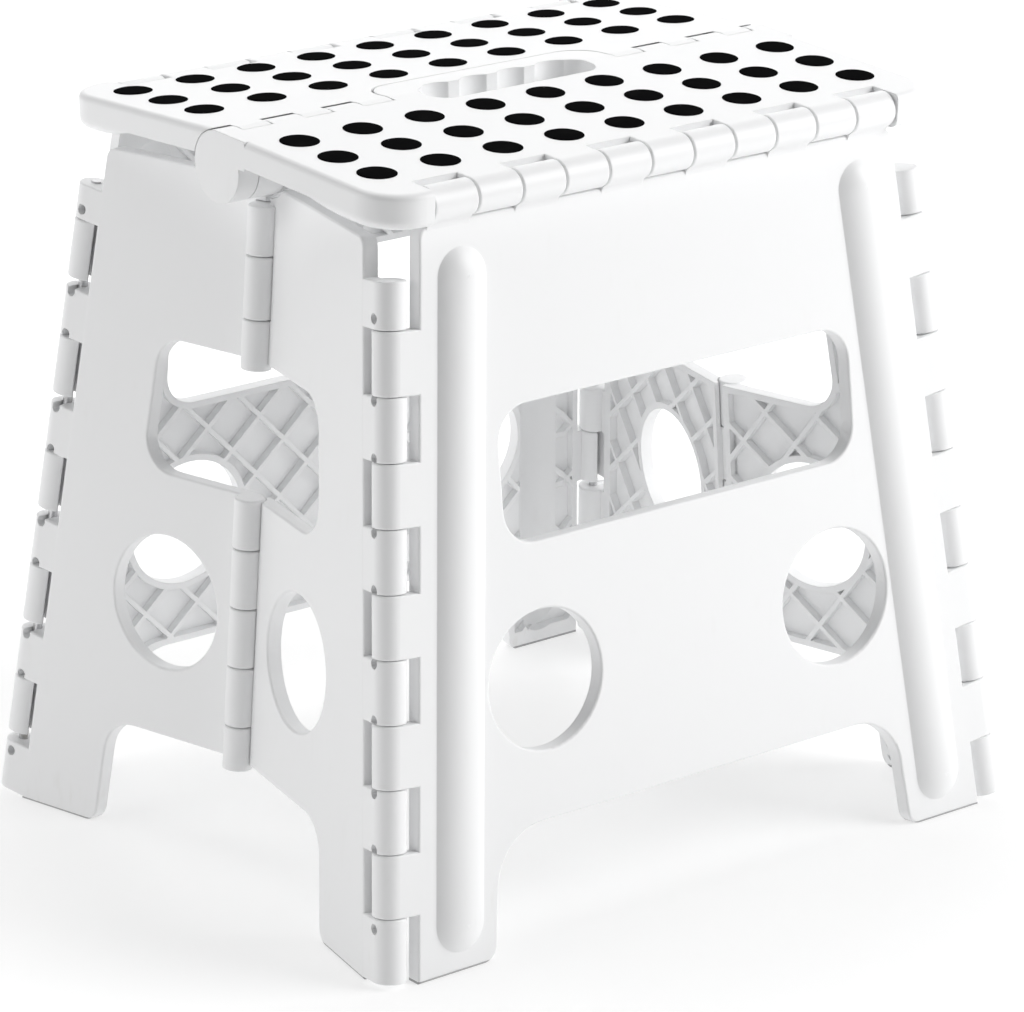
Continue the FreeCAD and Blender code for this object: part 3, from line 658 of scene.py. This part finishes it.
@dataclass
class SideWall:
    """A side wall of two halves that fold inwards, with their soles."""

    word: str

    def dress(self, nodes: dict[str, bpy.types.Object], finishes: Finishes) -> None:
        """Finish both halves and their soles.

        Args:
            nodes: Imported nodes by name.
            finishes: Materials of the stool.
        """
        for side in Side:
            half = f"{self.word}_{side.word}"
            finishes.dress(nodes[f"{half}_side"], Slot.PLASTIC)
            finishes.dress(nodes[f"{half}_foot_pad"], Slot.FOOT)


@dataclass
class HingePins:
    """The steel pins of every hinge."""

    ending: str = "_pin"

    def dress(self, nodes: dict[str, bpy.types.Object], finishes: Finishes) -> None:
        """Finish every pin.

        Args:
            nodes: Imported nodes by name.
            finishes: Materials of the stool.
        """
        for name, node in sorted(nodes.items()):
            if name.endswith(self.ending):
                finishes.dress(node, Slot.STEEL)


@dataclass(frozen=True)
class Softbox:
    """A large soft area light that looks at the stool."""

    name: str
    place: Point
    width: float
    height: float
    power: float
    target: Point = (0.0, 0.0, 0.16)

    def build(self) -> bpy.types.Object:
        """Hang the light in the scene, turned to its target.

        Returns:
            The light.
        """
        lamp = bpy.data.lights.new(self.name, "AREA")
        lamp.shape = "RECTANGLE"
        lamp.size = self.width
        lamp.size_y = self.height
        lamp.energy = self.power
        light = bpy.data.objects.new(self.name, lamp)
        light.location = self.place
        aim = Vector(self.target) - Vector(self.place)
        light.rotation_euler = aim.to_track_quat("-Z", "Y").to_euler()
        bpy.context.scene.collection.objects.link(light)
        return light


@dataclass
class Studio:
    """White floor, soft light and the camera of a bright product shot."""

    floor_half: float = 14.0
    fill: float = 0.05
    fill_colour: Colour = (1.0, 1.0, 1.0)
    bounces: int = 8
    camera_place: Point = (-1.3029, -1.6269, 0.8447)
    azimuth: float = -38.83
    elevation: float = 18.90
    roll: float = 0.158
    focal_pixels: float = 5160.0
    image_width: float = 1024.0
    sensor: float = 36.0
    lights: tuple[Softbox, ...] = field(default_factory=lambda: (
        Softbox("key_softbox", (1.74, -1.8, 1.6), 1.9, 1.8, 69.0),
        Softbox("left_softbox", (-2.36, 1.1, 1.1), 1.9, 1.8, 26.0),
        Softbox("overhead_softbox", (0.1, 0.9, 2.6), 2.4, 2.4, 36.0),
        Softbox("backdrop_softbox", (1.38, 1.72, 1.0), 2.6, 1.6, 18.0),
    ))

    def build(self) -> None:
        """Make the floor, the world, the lights and the camera."""
        self._floor()
        self._world()
        for light in self.lights:
            light.build()
        self._camera()
        scene = bpy.context.scene
        scene.view_settings.view_transform = "Standard"
        scene.view_settings.look = "None"
        scene.cycles.diffuse_bounces = self.bounces

    def _floor(self) -> None:
        """Lay the paper on the floor."""
        h = self.floor_half
        mesh = bpy.data.meshes.new("floor")
        mesh.from_pydata([(-h, -h, 0), (h, -h, 0), (h, h, 0), (-h, h, 0)], [], [(0, 1, 2, 3)])
        mesh.materials.append(PaperSweep().material())
        floor = bpy.data.objects.new("floor", mesh)
        bpy.context.scene.collection.objects.link(floor)

    def _world(self) -> None:
        """Fill the room with a little even white light."""
        world = bpy.data.worlds.new("studio")
        world.use_nodes = True
        background = world.node_tree.nodes["Background"]
        background.inputs["Color"].default_value = (*self.fill_colour, 1.0)
        background.inputs["Strength"].default_value = self.fill
        bpy.context.scene.world = world

    def _camera(self) -> None:
        """Set the camera at the angle of the product shot."""
        data = bpy.data.cameras.new("camera")
        data.sensor_width = self.sensor
        data.lens = self.focal_pixels * self.sensor / self.image_width
        camera = bpy.data.objects.new("camera", data)
        turn = Matrix.Rotation(math.radians(self.azimuth), 4, "Z")
        dip = Matrix.Rotation(math.radians(90 - self.elevation), 4, "X")
        roll = Matrix.Rotation(math.radians(self.roll), 4, "Z")
        camera.matrix_world = Matrix.Translation(self.camera_place) @ turn @ dip @ roll
        bpy.context.scene.collection.objects.link(camera)
        bpy.context.scene.camera = camera


def main() -> None:
    """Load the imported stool, finish every piece and set up the studio."""
    logging.basicConfig(level=logging.INFO, format="%(message)s")
    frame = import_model()
    nodes = frame["nodes"]
    finishes = Finishes()
    dots = DotTree()
    for side in Side:
        LegPanel(side).dress(nodes, finishes)
        Deck(side).dress(nodes, finishes, dots)
    for word in ("left", "right"):
        SideWall(word).dress(nodes, finishes)
    HingePins().dress(nodes, finishes)
    Studio().build()
    bpy.context.view_layer.update()


if __name__ == "__main__":
    main()
